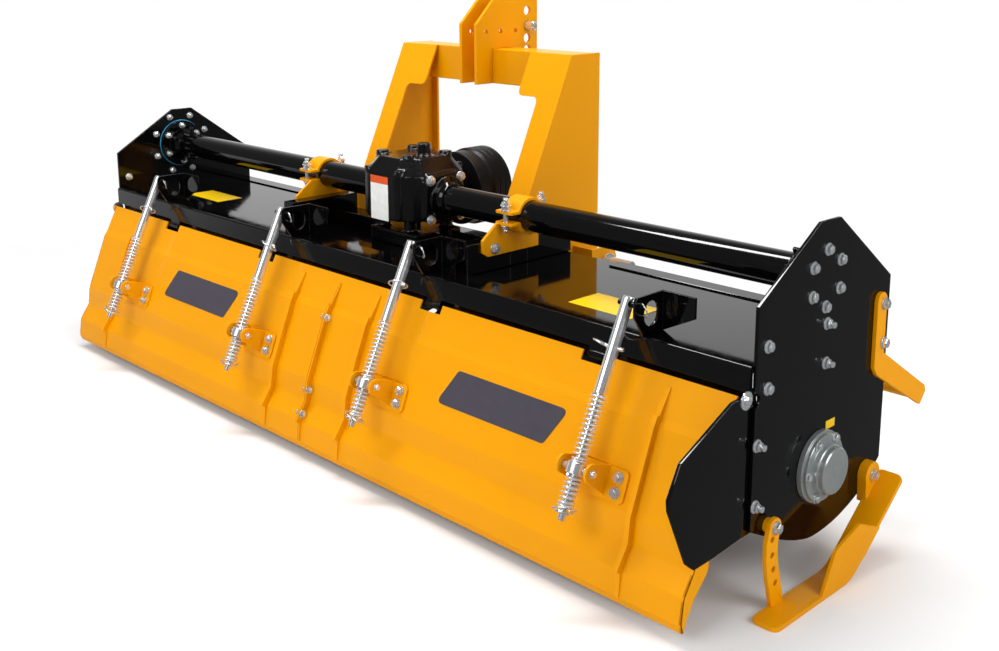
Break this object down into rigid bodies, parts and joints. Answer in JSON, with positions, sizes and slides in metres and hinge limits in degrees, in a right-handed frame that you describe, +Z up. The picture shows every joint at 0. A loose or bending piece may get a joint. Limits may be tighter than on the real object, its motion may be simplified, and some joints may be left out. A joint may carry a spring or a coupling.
{
  "type": "rotary tiller",
  "caption": "Tractor-mounted rotary tiller: hooded bladed rotor between side plates, driven by a gearbox, with hitch tower, skids and a spring-held tailgate.",
  "frame": {"origin": "bottom centre of the machine's box, on the floor that the skid soles rest on", "axes": "+X to the machine's right seen from behind, along the rotor; +Y forward, towards the tractor; +Z up"},
  "size_m": [2.644, 0.923, 1.15],
  "materials": {
    "yellow_paint": "gloss",
    "black_paint": "gloss",
    "cast_black": "satin",
    "black_plastic": "satin",
    "zinc_plate": "satin",
    "spring_steel": "satin",
    "blade_steel": "satin",
    "bare_steel": "satin"
  },
  "bodies": {
    "frame": {"side_plate_left": "black_paint", "cross_tube_left": "black_paint", "channel_left": "black_paint", "clamp_cap_left": "yellow_paint", "clamp_base_left": "yellow_paint", "tower_leg_left": "yellow_paint", "clevis_plate_left": "yellow_paint", "lower_hitch_left": "yellow_paint", "lower_hitch_pin_left": "zinc_plate", "front_arm_left": "yellow_paint", "skid_left": "yellow_paint", "side_plate_right": "black_paint", "cross_tube_right": "black_paint", "channel_right": "black_paint", "clamp_cap_right": "yellow_paint", "clamp_base_right": "yellow_paint", "tower_leg_right": "yellow_paint", "clevis_plate_right": "yellow_paint", "lower_hitch_right": "yellow_paint", "lower_hitch_pin_right": "zinc_plate", "front_arm_right": "yellow_paint", "skid_right": "yellow_paint", "hood": "black_paint", "rear_beam": "black_paint", "cross_beam": "black_paint", "rear_deflector": "black_paint", "gearbox": "cast_black", "pto_guard": "black_plastic", "drive_case": "cast_black", "bearing_housing": "zinc_plate", "tower_crossbar": "yellow_paint", "top_link_pin": "zinc_plate", "front_guard_bar": "yellow_paint", "rod_bracket_1": "black_paint", "rod_bracket_2": "black_paint", "rod_bracket_3": "black_paint", "rod_bracket_4": "black_paint"},
    "rotor": {"rotor": "blade_steel"},
    "pto_input": {"input_shaft": "bare_steel"},
    "tailgate": {"tailgate": "yellow_paint", "guide_bracket_1": "yellow_paint", "guide_bracket_2": "yellow_paint", "guide_bracket_3": "yellow_paint", "guide_bracket_4": "yellow_paint"},
    "swivel_blocks": {"swivel_block_1": "zinc_plate", "swivel_block_2": "zinc_plate", "swivel_block_3": "zinc_plate", "swivel_block_4": "zinc_plate"},
    "spring_rods": {"spring_rod_1": "zinc_plate", "spring_rod_2": "zinc_plate", "spring_rod_3": "zinc_plate", "spring_rod_4": "zinc_plate", "upper_spring_1": "spring_steel", "upper_spring_2": "spring_steel", "upper_spring_3": "spring_steel", "upper_spring_4": "spring_steel"}
  },
  "joints": [
    {"name": "rotor_spin", "type": "hinge", "parent": "frame", "child": "rotor", "pos_m": [0, 0.0145, 0.2455], "axis": [-1, 0, 0], "continuous": true},
    {"name": "pto_spin", "type": "hinge", "parent": "frame", "child": "pto_input", "pos_m": [0, 0.2445, 0.627], "axis": [0, 1, 0], "continuous": true},
    {"name": "tailgate_lift", "type": "hinge", "parent": "frame", "child": "tailgate", "pos_m": [0, -0.2235, 0.444], "axis": [-1, 0, 0], "range_deg": [0, 35]},
    {"name": "block_swivel", "type": "hinge", "parent": "tailgate", "child": "swivel_blocks", "pos_m": [0, -0.37804, 0.26711], "axis": [1, 0, 0], "range_deg": [0, 12]},
    {"name": "rod_slide", "type": "slide", "parent": "swivel_blocks", "child": "spring_rods", "axis": [0, -0.4274, -0.9041], "range_m": [0, 0.052], "deforming": ["upper_spring_1", "upper_spring_2", "upper_spring_3", "upper_spring_4"]}
  ],
  "couplings": [
    {"joint": "pto_spin", "follows": "rotor_spin", "ratio": 2.45},
    {"joint": "block_swivel", "follows": "tailgate_lift", "ratio": 0.3175},
    {"joint": "rod_slide", "follows": "tailgate_lift", "m_per_rad": 0.0825}
  ]
}
